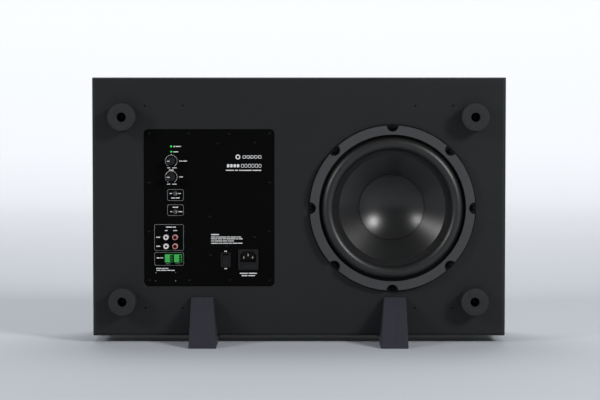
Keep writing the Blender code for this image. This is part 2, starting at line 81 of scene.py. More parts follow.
PANELS = ("driver_baffle", "rear_panel", "top_panel", "bottom_panel", "left_panel",
          "right_panel")
CAB_LOW, CAB_HIGH = corners(*PANELS)
FACE_Y = CAB_LOW.y
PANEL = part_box("driver_baffle")[1][1] - FACE_Y
SHARP = 32  # edges that turn by more degrees than this are shaded sharp

# The stage: metres along y, the glow at some of them, and the colours of floor and backdrop. The glow is
# painted light: faint on the floor under and just behind the cabinet, where its shade falls, and rising
# towards white up the backdrop
STAGE_REACH = (-0.07, 7.0)
STAGE_GLOW = ((-0.07, 0.0), (-0.02, 0.015), (0.03, 0.04), (0.6, 0.03), (1.8, 0.20),
              (2.8, 0.35), (4.0, 0.49), (4.5, 0.58), (5.0, 0.67), (6.0, 0.75))
STAGE_TINT = (0.985, 1.0, 1.04)
STAGE_FLOOR = (0.567, 0.598, 0.645)
STAGE_WALL = (0.50, 0.51, 0.53)
WORLD_LIGHT = 0.22
WORLD_SEEN = 0.9


def at(place, out=0.0):
    """The point at place = (x, z), out millimetres in front of the driver side."""
    return Vector((place[0], FACE_Y - out * MM, place[1]))


def place_of(name):
    middle = centre(name)
    return middle.x, middle.z


# Materials


class Surface:
    """A material's node tree, with short calls for the nodes used here."""

    def __init__(self, name):
        self.material = bpy.data.materials.new(name)
        self.material.use_nodes = True
        self.tree = self.material.node_tree
        self.shader = self.tree.nodes["Principled BSDF"]
        self.coords = self.add("ShaderNodeTexCoord").outputs["Object"]

    def add(self, kind, **settings):
        node = self.tree.nodes.new(kind)
        for name, value in settings.items():
            setattr(node, name, value)
        return node

    def wire(self, source, target):
        self.tree.links.new(source, target)

    def noise(self, size, detail=3.0, rough=0.5, stretch=(1, 1, 1)):
        """Noise whose features are about size millimetres across."""
        mapping = self.add("ShaderNodeMapping")
        mapping.inputs["Scale"].default_value = stretch
        self.wire(self.coords, mapping.inputs["Vector"])
        noise = self.add("ShaderNodeTexNoise")
        noise.inputs["Scale"].default_value = 1 / (size * MM)
        noise.inputs["Detail"].default_value = detail
        noise.inputs["Roughness"].default_value = rough
        self.wire(mapping.outputs["Vector"], noise.inputs["Vector"])
        return noise.outputs["Fac"]

    def cells(self, size, feature="F1", randomness=1.0):
        voronoi = self.add("ShaderNodeTexVoronoi", feature=feature)
        voronoi.inputs["Scale"].default_value = 1 / (size * MM)
        voronoi.inputs["Randomness"].default_value = randomness
        self.wire(self.coords, voronoi.inputs["Vector"])
        return voronoi.outputs["Distance"]

    def span(self, value, low, high, to_low, to_high):
        """Maps value from low..high to to_low..to_high."""
        node = self.add("ShaderNodeMapRange")
        self.wire(value, node.inputs["Value"])
        for key, number in (("From Min", low), ("From Max", high), ("To Min", to_low),
                            ("To Max", to_high)):
            node.inputs[key].default_value = number
        return node.outputs["Result"]

    def math(self, operation, one, two):
        node = self.add("ShaderNodeMath", operation=operation)
        for socket, value in zip(node.inputs, (one, two)):
            if isinstance(value, (int, float)):
                socket.default_value = value
            else:
                self.wire(value, socket)
        return node.outputs["Value"]

    def blend(self, factor, one, two):
        """A colour between one and two."""
        node = self.add("ShaderNodeMix", data_type="RGBA")
        self.wire(factor, node.inputs["Factor"])
        for socket, value in ((node.inputs["A"], one), (node.inputs["B"], two)):
            if isinstance(value, tuple):
                socket.default_value = (*value, 1.0)
            else:
                self.wire(value, socket)
        return node.outputs["Result"]

    def bump(self, height, depth, strength=1.0, under=None):
        """A bump whose full height is depth millimetres."""
        node = self.add("ShaderNodeBump")
        node.inputs["Strength"].default_value = strength
        node.inputs["Distance"].default_value = depth * MM
        self.wire(height, node.inputs["Height"])
        if under is not None:
            self.wire(under, node.inputs["Normal"])
        return node.outputs["Normal"]

    def set(self, **values):
        """Sets the shader's sockets; a tuple is a colour, and a socket is wired."""
        for name, value in values.items():
            socket = self.shader.inputs[name.replace("_", " ")]
            if isinstance(value, bpy.types.NodeSocket):
                self.wire(value, socket)
            elif isinstance(value, tuple):
                socket.default_value = (*value, 1.0)
            else:
                socket.default_value = value
        return self.material


def textured(name, tone, other, rough, grain, depth, cloud=60.0, specular=0.5, **more):
    """A moulded or painted surface: two close tones in clouds, grain, and uneven gloss."""
    s = Surface(name)
    clouds = s.span(s.noise(cloud, 4), 0.3, 0.7, 0, 1)
    fine = s.noise(grain, 2, 0.6)
    colour = s.blend(s.math("MULTIPLY", clouds, s.span(fine, 0.35, 0.65, 0.6, 1.0)), tone, other)
    gloss = s.span(s.noise(grain * 9, 3), 0.3, 0.7, *rough)
    coarse = s.bump(s.noise(grain * 5, 2), depth * 0.7, 0.5)
    normal = s.bump(fine, depth, 0.6, under=coarse)
    return s.set(Base_Color=colour, Roughness=gloss, Normal=normal, Specular_IOR_Level=specular,
                 **more)


def metal(name, tone, other, rough=(0.2, 0.35), stretch=(1, 1, 1)):
    """Plated or turned metal with fine marks along one direction."""
    s = Surface(name)
    marks = s.noise(0.6, 4, 0.7, stretch)
    stain = s.span(s.noise(12, 3), 0.35, 0.7, 0, 1)
    colour = s.blend(stain, tone, other)
    gloss = s.math("ADD", s.span(marks, 0.3, 0.7, *rough), s.span(stain, 0, 1, 0, 0.08))
    return s.set(Base_Color=colour, Metallic=1.0, Roughness=gloss,
                 Normal=s.bump(marks, 0.01, 0.5))


def cone_material():
    """Coated pulp: short fibres pressed into a smooth, slightly shiny skin."""
    s = Surface("coated_cone")
    fibres = s.noise(1.6, 5, 0.65, stretch=(1, 1, 2.5))
    pulp = s.cells(3.2, "SMOOTH_F1")
    clouds = s.span(s.noise(35, 3), 0.3, 0.7, 0, 1)
    colour = s.blend(clouds, (0.0022, 0.0024, 0.0028), (0.0034, 0.0036, 0.0042))
    gloss = s.span(fibres, 0.3, 0.7, 0.29, 0.35)
    normal = s.bump(fibres, 0.02, 0.35, under=s.bump(pulp, 0.02, 0.25))
    return s.set(Base_Color=colour, Roughness=gloss, Normal=normal, Specular_IOR_Level=0.6)


def cloth_material():
    """Resin-stiffened woven cloth for the spider."""
    s = Surface("spider_weave")
    waves = []
    for direction in ("X", "Z"):
        wave = s.add("ShaderNodeTexWave", bands_direction=direction)
        wave.inputs["Scale"].default_value = 1 / (4.5 * MM)
        s.wire(s.coords, wave.inputs["Vector"])
        waves.append(wave.outputs["Fac"])
    weave = s.math("MULTIPLY", waves[0], waves[1])
    colour = s.blend(weave, (0.26, 0.15, 0.05), (0.55, 0.38, 0.16))
    return s.set(Base_Color=colour, Roughness=0.85, Normal=s.bump(weave, 0.2, 0.8))


def coil_material():
    """Enamelled copper wire, its turns lying side by side along the depth."""
    s = Surface("wound_copper")
    wave = s.add("ShaderNodeTexWave", bands_direction="Y")
    wave.inputs["Scale"].default_value = 1 / (3.2 * MM)
    s.wire(s.coords, wave.inputs["Vector"])
    colour = s.blend(wave.outputs["Fac"], (0.45, 0.14, 0.05), (0.85, 0.36, 0.16))
    return s.set(Base_Color=colour, Metallic=1.0, Roughness=0.3,
                 Normal=s.bump(wave.outputs["Fac"], 0.15, 0.8))


def board_material():
    """A solder-masked board with its tracks showing as paler lines."""
    s = Surface("circuit_board")
    tracks = s.cells(9, "DISTANCE_TO_EDGE", 0.2)
    line = s.span(tracks, 0.02, 0.05, 1, 0)
    colour = s.blend(line, (0.008, 0.075, 0.03), (0.03, 0.2, 0.08))
    return s.set(Base_Color=colour, Roughness=0.35, Normal=s.bump(line, 0.03, 0.6))


def glow_material(name, colour, strength):
    s = Surface(name)
    core = s.span(s.noise(1.5, 2), 0.3, 0.7, 0.8, 1.0)
    tint = s.blend(core, tuple(c * 0.7 for c in colour), colour)
    return s.set(Base_Color=tint, Emission_Color=tint, Emission_Strength=strength,
                 Roughness=0.15)


def ink_material(name, tone):
    """Screen-printed ink, slightly uneven in cover."""
    s = Surface(name)
    cover = s.span(s.noise(0.7, 3), 0.3, 0.7, 0, 1)
    colour = s.blend(cover, tuple(c * 0.92 for c in tone), tone)
    return s.set(Base_Color=colour, Roughness=s.span(cover, 0, 1, 0.5, 0.65),
                 Normal=s.bump(cover, 0.01, 0.4))


def stage_material():
    """Pale grey floor and backdrop in one; a faint painted light lies on the floor under and just behind the
    cabinet, and the far part glows more and more towards white, painted light too.
    """
    s = Surface("studio_paper")
    split = s.add("ShaderNodeSeparateXYZ")
    s.wire(s.coords, split.inputs["Vector"])
    far = s.span(split.outputs["Y"], STAGE_REACH[0], STAGE_REACH[1], 0, 1)
    ramp = s.add("ShaderNodeValToRGB")
    s.wire(far, ramp.inputs["Fac"])
    stops = ramp.color_ramp.elements
    while len(stops) < len(STAGE_GLOW):
        stops.new(0.5)
    for stop, (y, glow) in zip(stops, STAGE_GLOW):
        stop.position = (y - STAGE_REACH[0]) / (STAGE_REACH[1] - STAGE_REACH[0])
        stop.color = (*(glow * tint for tint in STAGE_TINT), 1.0)
    paper = s.noise(3, 3)
    # The emission is painted light on the floor and backdrop, not a lamp.
    return s.set(Base_Color=s.blend(far, STAGE_FLOOR, STAGE_WALL), Emission_Strength=1.0,
                 Emission_Color=ramp.outputs["Color"], Specular_IOR_Level=0.15,
                 Roughness=s.span(paper, 0.3, 0.7, 0.75, 0.85), Normal=s.bump(paper, 0.02, 0.2))


GLOSSY = {"rough": (0.25, 0.35), "grain": 0.4, "depth": 0.01, "cloud": 4}
NYLON = {"rough": (0.38, 0.5), "grain": 0.35, "depth": 0.012}

MATERIALS = {
    "paint": textured("cabinet_paint", (0.0098, 0.0105, 0.0118), (0.0118, 0.0126, 0.014),
                      rough=(0.5, 0.62), grain=0.9, depth=0.05, cloud=90, specular=0.3),
    "board": textured("fibreboard", (0.30, 0.20, 0.12), (0.42, 0.30, 0.19), rough=(0.8, 0.95),
                      grain=0.5, depth=0.08, cloud=25),
    "foot": textured("foot_rubber", (0.013, 0.0138, 0.0152), (0.018, 0.0188, 0.0202),
                     rough=(0.6, 0.75), grain=0.6, depth=0.04, cloud=15, specular=0.4),
    "stand": textured("stand_plastic", (0.026, 0.027, 0.037), (0.031, 0.032, 0.043),
                      rough=(0.5, 0.62), grain=0.7, depth=0.04, cloud=30, specular=0.4),
    "basket": textured("basket_powder_coat", (0.0028, 0.0028, 0.003), (0.004, 0.004, 0.0042),
                       rough=(0.5, 0.65), grain=0.8, depth=0.04, specular=0.15),
    "ring": textured("ring_rubber", (0.046, 0.0478, 0.0508), (0.054, 0.056, 0.0592),
                     rough=(0.62, 0.75), grain=0.5, depth=0.03, cloud=40, specular=0.3),
    "surround": textured("surround_rubber", (0.0072, 0.0074, 0.008), (0.01, 0.0102, 0.011),
                         rough=(0.38, 0.46), grain=0.5, depth=0.012, cloud=30, specular=0.6),
    # A darker, duller copy of the surround rubber: painted shade on the front-facing inner lip.
    "lip": textured("surround_lip_painted_shade", (0.0062, 0.0064, 0.007), (0.0082, 0.0084, 0.0092),
                    rough=(0.6, 0.75), grain=0.5, depth=0.012, cloud=30, specular=0.2),
    "cone": cone_material(),
    "spider": cloth_material(),
    "former": metal("former_foil", (0.75, 0.75, 0.76), (0.6, 0.6, 0.62), stretch=(1, 8, 1)),
    "copper": coil_material(),
    "zinc": metal("zinc_plate", (0.62, 0.62, 0.60), (0.48, 0.48, 0.45), rough=(0.3, 0.45)),
    "ferrite": textured("ferrite", (0.025, 0.025, 0.027), (0.045, 0.045, 0.048),
                        rough=(0.55, 0.8), grain=0.7, depth=0.08, cloud=18),
    "screw": textured("black_oxide_steel", (0.0012, 0.0012, 0.0013), (0.0022, 0.0022, 0.0023),
                      rough=(0.25, 0.35), grain=0.4, depth=0.01, cloud=4, specular=0.12),
    "plate": textured("plate_powder_coat", (0.0010, 0.0010, 0.0012), (0.0017, 0.0017, 0.0019),
                      rough=(0.55, 0.7), grain=0.45, depth=0.035, cloud=70, specular=0.05),
    "foam": textured("gasket_foam", (0.008, 0.008, 0.008), (0.018, 0.018, 0.018),
                     rough=(0.9, 1.0), grain=0.9, depth=0.2),
    "circuit": board_material(),
    "knob": textured("knob_plastic", (0.0045, 0.0045, 0.0055), (0.007, 0.007, 0.0085),
                     rough=(0.4, 0.5), grain=0.3, depth=0.01, cloud=6, specular=0.3),
    "led": glow_material("led_lens", (0.02, 0.42, 0.04), 0.9),
    "nickel": metal("nickel_plate", (0.86, 0.85, 0.82), (0.76, 0.75, 0.72), rough=(0.36, 0.48)),
    "gunmetal": metal("dark_nickel", (0.26, 0.26, 0.26), (0.16, 0.16, 0.16), rough=(0.2, 0.3)),
    "socket": textured("socket_nylon", (0.0052, 0.0052, 0.0058), (0.008, 0.008, 0.0088),
                       cloud=8, specular=0.3, **NYLON),
    "jack_white": textured("jack_white", (0.78, 0.78, 0.76), (0.86, 0.86, 0.84), **GLOSSY),
    "jack_red": textured("jack_red", (0.16, 0.004, 0.004), (0.22, 0.007, 0.006), **GLOSSY),
    # Pink stands for the metal barrel's reflection of the red insert: a painted reflection.
    "jack_red_reflection": textured("jack_red_painted_reflection", (0.76, 0.42, 0.40), (0.84, 0.52, 0.50), **GLOSSY),
    "terminal": textured("terminal_green", (0.045, 0.42, 0.085), (0.06, 0.50, 0.105),
                         cloud=6, specular=0.3, **NYLON),
    "header": textured("header_green", (0.004, 0.085, 0.012), (0.006, 0.12, 0.018),
                       cloud=6, specular=0.2, **NYLON),
    "pin": metal("pin_brass", (0.86, 0.78, 0.58), (0.72, 0.62, 0.42), rough=(0.18, 0.3)),
    "glass": textured("fuse_glass", (0.7, 0.74, 0.73), (0.8, 0.83, 0.82), rough=(0.05, 0.12),
                      grain=1.5, depth=0.005, cloud=5, Transmission_Weight=0.6),
    "ink": ink_material("white_print", (0.80, 0.80, 0.80)),
    "grey_ink": ink_material("grey_print", (0.24, 0.24, 0.25)),
    # Near-black painted shade, put in holes, gaps and recesses where there is only shade.
    "hole": textured("painted_recess_shade", (0.002, 0.002, 0.002), (0.004, 0.004, 0.004),
                     rough=(0.8, 0.95), grain=0.5, depth=0.02, specular=0.1),
}


# Mesh helpers


def link(name, mesh, location=(0, 0, 0)):
    piece = bpy.data.objects.new(name, mesh)
    bpy.context.scene.collection.objects.link(piece)
    piece.location = location
    return piece


def shade(mesh, sharp=SHARP):
    mesh.shade_smooth()
    mesh.set_sharp_from_angle(angle=math.radians(sharp))


def to_mesh(bm, name, sharp=SHARP):
    bmesh.ops.recalc_face_normals(bm, faces=bm.faces)
    mesh = bpy.data.meshes.new(name)
    bm.to_mesh(mesh)
    bm.free()
    shade(mesh, sharp)
    return mesh


def bridge(bm, one, two):
    """Four-sided faces between two rings of as many points."""
    for i in range(len(one)):
        j = (i + 1) % len(one)
        bm.faces.new((one[i], one[j], two[j], two[i]))


def loft(bm, rings):
    """A solid through several rings, with flat ends."""
    bm.faces.new(rings[0])
    bm.faces.new(rings[-1])
    for one, two in zip(rings, rings[1:]):
        bridge(bm, one, two)


def soften(points, closed, steps=4):
    """Replaces each profile corner that has a third number, its radius, by an arc."""
    count = len(points)
    out = []
    for i, point in enumerate(points):
        radius = point[2] if len(point) > 2 else 0
        here = Vector(point[:2])
        if not radius or (not closed and i in (0, count - 1)):
            out.append(here)
            continue
        before = Vector(points[i - 1][:2])
        after = Vector(points[(i + 1) % count][:2])
        one, two = (before - here).normalized(), (after - here).normalized()
        angle = one.angle(two)
        reach = min(radius / math.tan(angle / 2), (before - here).length * 0.49,
                    (after - here).length * 0.49)
        start, end = here + one * reach, here + two * reach
        for k in range(steps + 1):
            t = k / steps
            out.append(start * (1 - t) ** 2 + here * 2 * t * (1 - t) + end * t ** 2)
    return out


def lathe(name, profile, place=None, steps=96, closed=False, wobble=None):
    """A solid turned about the out direction, from (radius, out, corner radius) in millimetres.

    wobble(radius, out, angle) may return another radius, for flutes and the like.
    """
    bm = bmesh.new()
    rings = []
    for r, out in soften(profile, closed):
        if r < 1e-6:
            rings.append([bm.verts.new((0, -out * MM, 0))] * steps)
            continue
        rings.append([])
        for i in range(steps):
            turn = math.tau * i / steps
            radius = (wobble(r, out, turn) if wobble else r) * MM
            point = (radius * math.cos(turn), -out * MM, radius * math.sin(turn))
            rings[-1].append(bm.verts.new(point))
    pairs = list(zip(rings, rings[1:]))
    if closed:
        pairs.append((rings[-1], rings[0]))
    for one, two in pairs:
        for i in range(steps):
            j = (i + 1) % steps
            face = []
            for vert in (one[i], one[j], two[j], two[i]):
                if vert not in face:
                    face.append(vert)
            if len(face) > 2:
                bm.faces.new(face)
    return link(name, to_mesh(bm, name), at(place) if place else (0, 0, 0))


def rounded_outline(width, height, radius, steps=6):
    """Corners of a rounded rectangle about the origin, anticlockwise seen from the front."""
    radius = min(radius, width / 2, height / 2)
    for turn, (sx, sz) in enumerate(((1, 1), (-1, 1), (-1, -1), (1, -1))):
        cx, cz = sx * (width / 2 - radius), sz * (height / 2 - radius)
        for k in range(steps + 1 if radius > 0 else 1):
            angle = math.pi / 2 * (turn + k / steps)
            yield cx + radius * math.cos(angle), cz + radius * math.sin(angle)


def extrude(name, outline, levels, place):
    """A solid through several levels (out, grow) of one outline, in millimetres.

    grow moves the outline outwards from its own middle, so a small negative value at the ends
    makes a chamfer.
    """
    bm = bmesh.new()
    outline = list(outline)
    half_w = max(abs(x) for x, z in outline)
    half_h = max(abs(z) for x, z in outline)
    rings = []
    for out, grow in levels:
        sx, sz = (half_w + grow) / half_w, (half_h + grow) / half_h
        rings.append([bm.verts.new((x * sx * MM, -out * MM, z * sz * MM)) for x, z in outline])
    loft(bm, rings)
    return link(name, to_mesh(bm, name), at(place))


def slab(name, place, size, back, front, radius=1.0, chamfer=0.4, steps=6):
    """A rounded slab in millimetres, between two distances out, its front edge chamfered."""
    levels = [(back, 0), (front - chamfer, 0)]
    if chamfer:
        levels += [(front - chamfer * 0.3, -chamfer * 0.3), (front, -chamfer)]
    return extrude(name, rounded_outline(*size, radius, steps), levels, place)


def rod(name, place, radius, back, front, sides=40):
    return lathe(name, [(0, front), (radius, front), (radius, back), (0, back)], place, sides)


def carve(piece, cutters, operation="DIFFERENCE"):
    """Cuts the cutters from a piece, or joins them to it, and removes them."""
    for cutter in cutters:
        boolean = piece.modifiers.new("carve", "BOOLEAN")
        boolean.operation = operation
        boolean.solver = "EXACT"
        boolean.object = cutter
    bpy.context.view_layer.update()
    graph = bpy.context.evaluated_depsgraph_get()
    mesh = bpy.data.meshes.new_from_object(piece.evaluated_get(graph))
    piece.modifiers.clear()
    piece.data = mesh
    for cutter in cutters:
        bpy.data.objects.remove(cutter, do_unlink=True)
    bm = bmesh.new()
    bm.from_mesh(mesh)
    bmesh.ops.remove_doubles(bm, verts=bm.verts, dist=0.000002)
    bmesh.ops.dissolve_degenerate(bm, edges=bm.edges, dist=0.000002)
    bm.to_mesh(mesh)
    bm.free()
    shade(mesh)


def round_edges(piece, width, segments, angle):
    """Rounds the edges that turn by more than angle degrees; width is in millimetres."""
    bevel = piece.modifiers.new("edges", "BEVEL")
    bevel.width = width * MM
    bevel.segments = segments
    bevel.limit_method = "ANGLE"
    bevel.angle_limit = math.radians(angle)


def even_normals(piece):
    """Keeps wide flat faces flat where they meet a rounded edge."""
    weighted = piece.modifiers.new("even", "WEIGHTED_NORMAL")
    weighted.keep_sharp = True
    weighted.weight = 100


def dress(piece, body, material, replaces=()):
    """Gives a finished piece its material, the body it rides on and the nodes it stands for."""
    piece.data.materials.clear()
    piece.data.materials.append(MATERIALS[material])
    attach(piece, body)
    if replaces:
        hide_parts(*replaces)


def around(middle, radius, count):
    """Places spread evenly on a circle; radius is in millimetres."""
    for i in range(count):
        turn = math.tau * i / count
        yield (middle[0] + radius * MM * math.cos(turn),
               middle[1] + radius * MM * math.sin(turn))


def shifted(place, dx, dz):
    """place moved by millimetres."""
    return place[0] + dx * MM, place[1] + dz * MM


# Screws, shared by the driver, the plate and the feet


def screw_mesh(name, head_r, head_h, shank_r, shank, seat):
    """A pan-head screw with a cross recess; seat is how far out the head's underside lies."""
    top = seat + head_h
    profile = [(0, top), (head_r * 0.45, top - head_h * 0.06), (head_r * 0.8, top - head_h * 0.28),
               (head_r, seat + head_h * 0.35, 0.2), (head_r, seat, 0.05), (shank_r, seat),
               (shank_r, seat - shank + 0.5), (shank_r * 0.4, seat - shank), (0, seat - shank)]
    piece = lathe(name, profile, None, 40)
    depth = head_h * 0.75
    blades = []
    for size in ((head_r * 1.05, head_r * 0.22), (head_r * 0.22, head_r * 1.05)):
        blade = slab(f"{name}_blade", (0, 0), size, top - depth, top + 1, 0.05, 0)
        blade.location = (0, 0, 0)  # the head is still at the origin
        blades.append(blade)
    carve(piece, blades)
    mesh = piece.data
    bpy.data.objects.remove(piece, do_unlink=True)
    return mesh


def put_screw(name, mesh, place, turn, replaces=()):
    piece = link(name, mesh.copy(), at(place))
    piece.rotation_euler = (0, turn, 0)
    dress(piece, "cabinet", "screw", replaces)


# Cabinet

DRIVER = place_of("trim_ring")
PLATE = place_of("amp_plate")
PLATE_SIZE = [(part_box("amp_plate")[1][i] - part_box("amp_plate")[0][i]) / MM for i in (0, 2)]
FEET = [place_of(f"foot_{i}") for i in range(1, 5)]
FRONT_ROUND = 5.6
REAR_ROUND = 1.2
BASKET_HOLE_R = 117
SCREW_CIRCLE = 126.5
SCREW_COUNT = 8
PLATE_CORNER = 6.0
REBATE_GAP = 0.6
REBATE_DEPTH = 4.6
AMP_OPENING = (176, 218)
BRACKET_HOLE_X = (182.7, 242.0)
BRACKET_HOLE_RISE = 159.0
STAND_FLOOR_WIDTH = 42.7 * MM
STAND_TOP_WIDTH = 34.8 * MM
STAND_LEAN = 3.7 * MM
STAND_GROOVE = 0.5 * MM


def block(name, low, high):
    bm = bmesh.new()
    bmesh.ops.create_cube(bm, size=1.0)
    bmesh.ops.scale(bm, vec=high - low, verts=bm.verts)
    return link(name, to_mesh(bm, name), (low + high) / 2)


def make_cabinet():
    """One painted, hollow case with its openings; it stands for the six glued panels."""
    wall = Vector((PANEL, PANEL, PANEL))
    middle = ((CAB_LOW.x + CAB_HIGH.x) / 2, (CAB_LOW.z + CAB_HIGH.z) / 2)
    wide, deep, high = (CAB_HIGH - CAB_LOW) / MM
    levels = [(-deep, -REAR_ROUND), (REAR_ROUND * 0.3 - deep, -REAR_ROUND * 0.3),
              (REAR_ROUND - deep, 0)]
    for k in range(9):
        turn = math.pi / 2 * k / 8
        levels.append((FRONT_ROUND * (math.sin(turn) - 1), FRONT_ROUND * (math.cos(turn) - 1)))
    case = extrude("cabinet_case", rounded_outline(wide, high, 1.5, 3), levels, middle)
    rebate = [side + 2 * REBATE_GAP for side in PLATE_SIZE]
    cutters = [
        block("hollow", CAB_LOW + wall, CAB_HIGH - wall),
        rod("driver_hole", DRIVER, BASKET_HOLE_R, -25, 5, 128),
        slab("amp_opening", PLATE, AMP_OPENING, -25, 0, 8, 0),
        extrude("plate_rebate", rounded_outline(*rebate, PLATE_CORNER + REBATE_GAP, 8),
                [(-REBATE_DEPTH, 0), (-0.5, 0), (0.1, 0.6)], PLATE),
    ]
    for x in BRACKET_HOLE_X:
        for side in (-1, 1):
            for rise in (-1, 1):
                hole = shifted(middle, side * x, rise * BRACKET_HOLE_RISE)
                profile = [(0, 1), (1.7, 1), (1.7, 0.05), (1.2, -0.5), (1.2, -11), (0, -12)]
                cutters.append(lathe("bracket_hole", profile, hole, 20))
    for place in around(DRIVER, SCREW_CIRCLE, SCREW_COUNT):
        cutters.append(rod("screw_hole", place, 2.4, -15, 5, 16))
    carve(case, cutters)
    even_normals(case)
    dress(case, "cabinet", "paint", PANELS)


def make_feet():
    profile = [(2.7, 6), (7.3, 6, 0.4), (7.3, 25, 0.5), (21.4, 25, 0.8), (21.4, 4.2, 0.3),
               (20.7, 3.4, 0.3), (20.7, 2.4, 0.3), (21.4, 1.6, 0.3), (21.4, 0.35), (2.7, 0.35)]
    screw = screw_mesh("foot_screw", 5.0, 3.0, 2.3, 9, 7.3)
    washer = [(2.8, 7.2), (6.6, 7.2, 0.2), (6.6, 6.2), (2.8, 6.2)]
    for index, place in enumerate(FEET, 1):
        foot = lathe(f"rubber_foot_{index}", profile, place, 96, closed=True)
        dress(foot, "cabinet", "foot", [f"foot_{index}"])
        ring = lathe(f"foot_washer_{index}", washer, place, 48, closed=True)
        # The washer deep in each foot's hole is painted near-black: painted shade in the hole.
        dress(ring, "cabinet", "hole")
        put_screw(f"foot_screw_{index}", screw, place, 0.4 * index)


def make_stands():
    """Moulded cradles: rounded edges, and a fine groove down the middle of each slope."""
    for name, hand in (("stand_left", -1), ("stand_right", 1)):
        low, high = corners(name)
        inner = CAB_HIGH.y + 0.4 * MM
        toe, top, base = high.y, high.z, CAB_LOW.z - 0.3 * MM
        front = [(-toe, 0), (-toe, 2.5 * MM), (-inner - 5 * MM, top), (-inner, top),
                 (-inner, base)]
        outline = front + [(-y, z) for y, z in reversed(front)]
        bm = bmesh.new()
        rings = []
        for offset, groove in ((-1, 0), (0, -1), (0, 0), (0, 1), (1, 0)):
            ring = []
            for y, z in outline:
                half = (STAND_FLOOR_WIDTH + (STAND_TOP_WIDTH - STAND_FLOOR_WIDTH) * z / top) / 2
                foot_x = (high.x if hand > 0 else low.x) - hand * STAND_FLOOR_WIDTH / 2
                x = foot_x + hand * STAND_LEAN * z / top
                sloping = abs(y) > inner + MM and z > 0
                sink = STAND_GROOVE if sloping and not offset and not groove else 0.0
                ring.append(bm.verts.new((x + offset * half + groove * 0.8 * MM,
                                          y - math.copysign(sink, y), z)))
            rings.append(ring)
        loft(bm, rings)
        piece = link(f"{name}_moulding", to_mesh(bm, name))
        round_edges(piece, 1.2, 4, 50)
        even_normals(piece)
        dress(piece, "cabinet", "stand", [name])


# Driver

NOTCH_CIRCLE = 129.3
ROLL_INNER, ROLL_OUTER = 90.0, 113.0  # the part of the surround that stretches
GAP_R = 111.3  # the gap under the trim ring starts here; outside it the surround is painted near-black, painted shade
LIP_R = 90.6  # the glued inner lip ends here; inside it the rubber is darker and duller, painted shade so the band looks as dark as the cone


def make_trim_ring():
    profile = [(115.3, 3.5), (115.3, 9.5, 0.35), (129.6, 9.5, 0.5), (129.9, 3.5)]
    ring = lathe("gasket_ring", profile, DRIVER, 192, closed=True)
    carve(ring, [rod("notch", place, 9.3, 1, 15, 48)
                 for place in around(DRIVER, NOTCH_CIRCLE, SCREW_COUNT)])
    even_normals(ring)
    dress(ring, "cabinet", "ring", ["trim_ring"])


def make_driver_screws():
    mesh = screw_mesh("driver_screw", 3.8, 3.1, 1.9, 15, 2.4)
    for index, place in enumerate(around(DRIVER, SCREW_CIRCLE, SCREW_COUNT), 1):
        put_screw(f"ring_screw_{index}", mesh, place, 0.37 * index,
                  replaces=[f"driver_screw_{index}"])


def make_surround():
    """The half-roll; its outer lip stays with the basket and its inner lip with the cone."""
    thick, middle, half, rise = 0.7, 101.4, 9.7, 8.6
    foot = math.radians(25)
    across, up = half / math.cos(foot), rise / (1 - math.sin(foot))

    def roll(extra):
        for i in range(33):
            turn = foot + (math.pi - 2 * foot) * i / 32
            yield (middle - (across + extra) * math.cos(turn),
                   2.75 + extra + up * (math.sin(turn) - math.sin(foot)))

    top, under = list(roll(thick / 2)), list(roll(-thick / 2))
    profile = [(83.4, 2.0), (88.4, 2.5), (90.0, 2.72), (90.9, 3.0)] + top[1:]
    profile += [(120.5, 3.2), (120.5, 2.45)] + under[::-1]
    piece = lathe("rubber_surround", profile, DRIVER, 192, closed=True)
    # Faces outside GAP_R get painted shade for the gap under the ring; faces inside LIP_R a darker, duller
    # rubber that paints shade on the lip.
    for material in ("surround", "hole", "lip"):
        piece.data.materials.append(MATERIALS[material])
    for face in piece.data.polygons:
        radius = math.hypot(face.center.x, face.center.z) / MM
        face.material_index = 1 if radius > GAP_R else 2 if radius < LIP_R else 0
    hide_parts("surround")
    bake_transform(piece, "cabinet", "moving_cone", start=at(shifted(DRIVER, ROLL_OUTER, 0)),
             end=at(shifted(DRIVER, ROLL_INNER, 0)))
    here = at(DRIVER)
    weights = piece.data.attributes["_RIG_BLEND"].data
    for vert, weight in zip(piece.data.vertices, weights):
        radius = math.hypot(vert.co.x - here.x, vert.co.z - here.z) / MM
        share = min(max((ROLL_OUTER - radius) / (ROLL_OUTER - ROLL_INNER), 0), 1)
        weight.value = share * share * (3 - 2 * share)


def make_cone():
    """The pressed cone with its flat rim, and the dished dust cap."""
    profile = [(25.9, -39.8), (30, -37.6, 2), (51.2, -23.9), (52, -23.3), (82.6, 1.5),
               (83.3, 2.0), (91.3, 2.3), (91.3, 1.2), (85.2, 0.8, 3), (51.8, -25),
               (27.6, -40.8, 1), (27.5, -42.8), (25.9, -42.8)]
    cone = lathe("pressed_cone", profile, DRIVER, 192, closed=True)
    dress(cone, "moving_cone", "cone", ["cone"])
    rim, deep, rise, thick = 51.2, -40.7, 17.8, 0.8
    radii = [rim * k / 24 for k in range(25)]
    front = [(r, deep + rise * (r / rim) ** 2) for r in radii]
    back = [(r, out - thick) for r, out in reversed(front)]
    cap = lathe("dished_cap", front + back, DRIVER, 160)
    dress(cap, "moving_cone", "cone", ["dust_cap"])


def make_driver():
    make_trim_ring()
    make_driver_screws()
    make_surround()
    make_cone()


# Amplifier plate

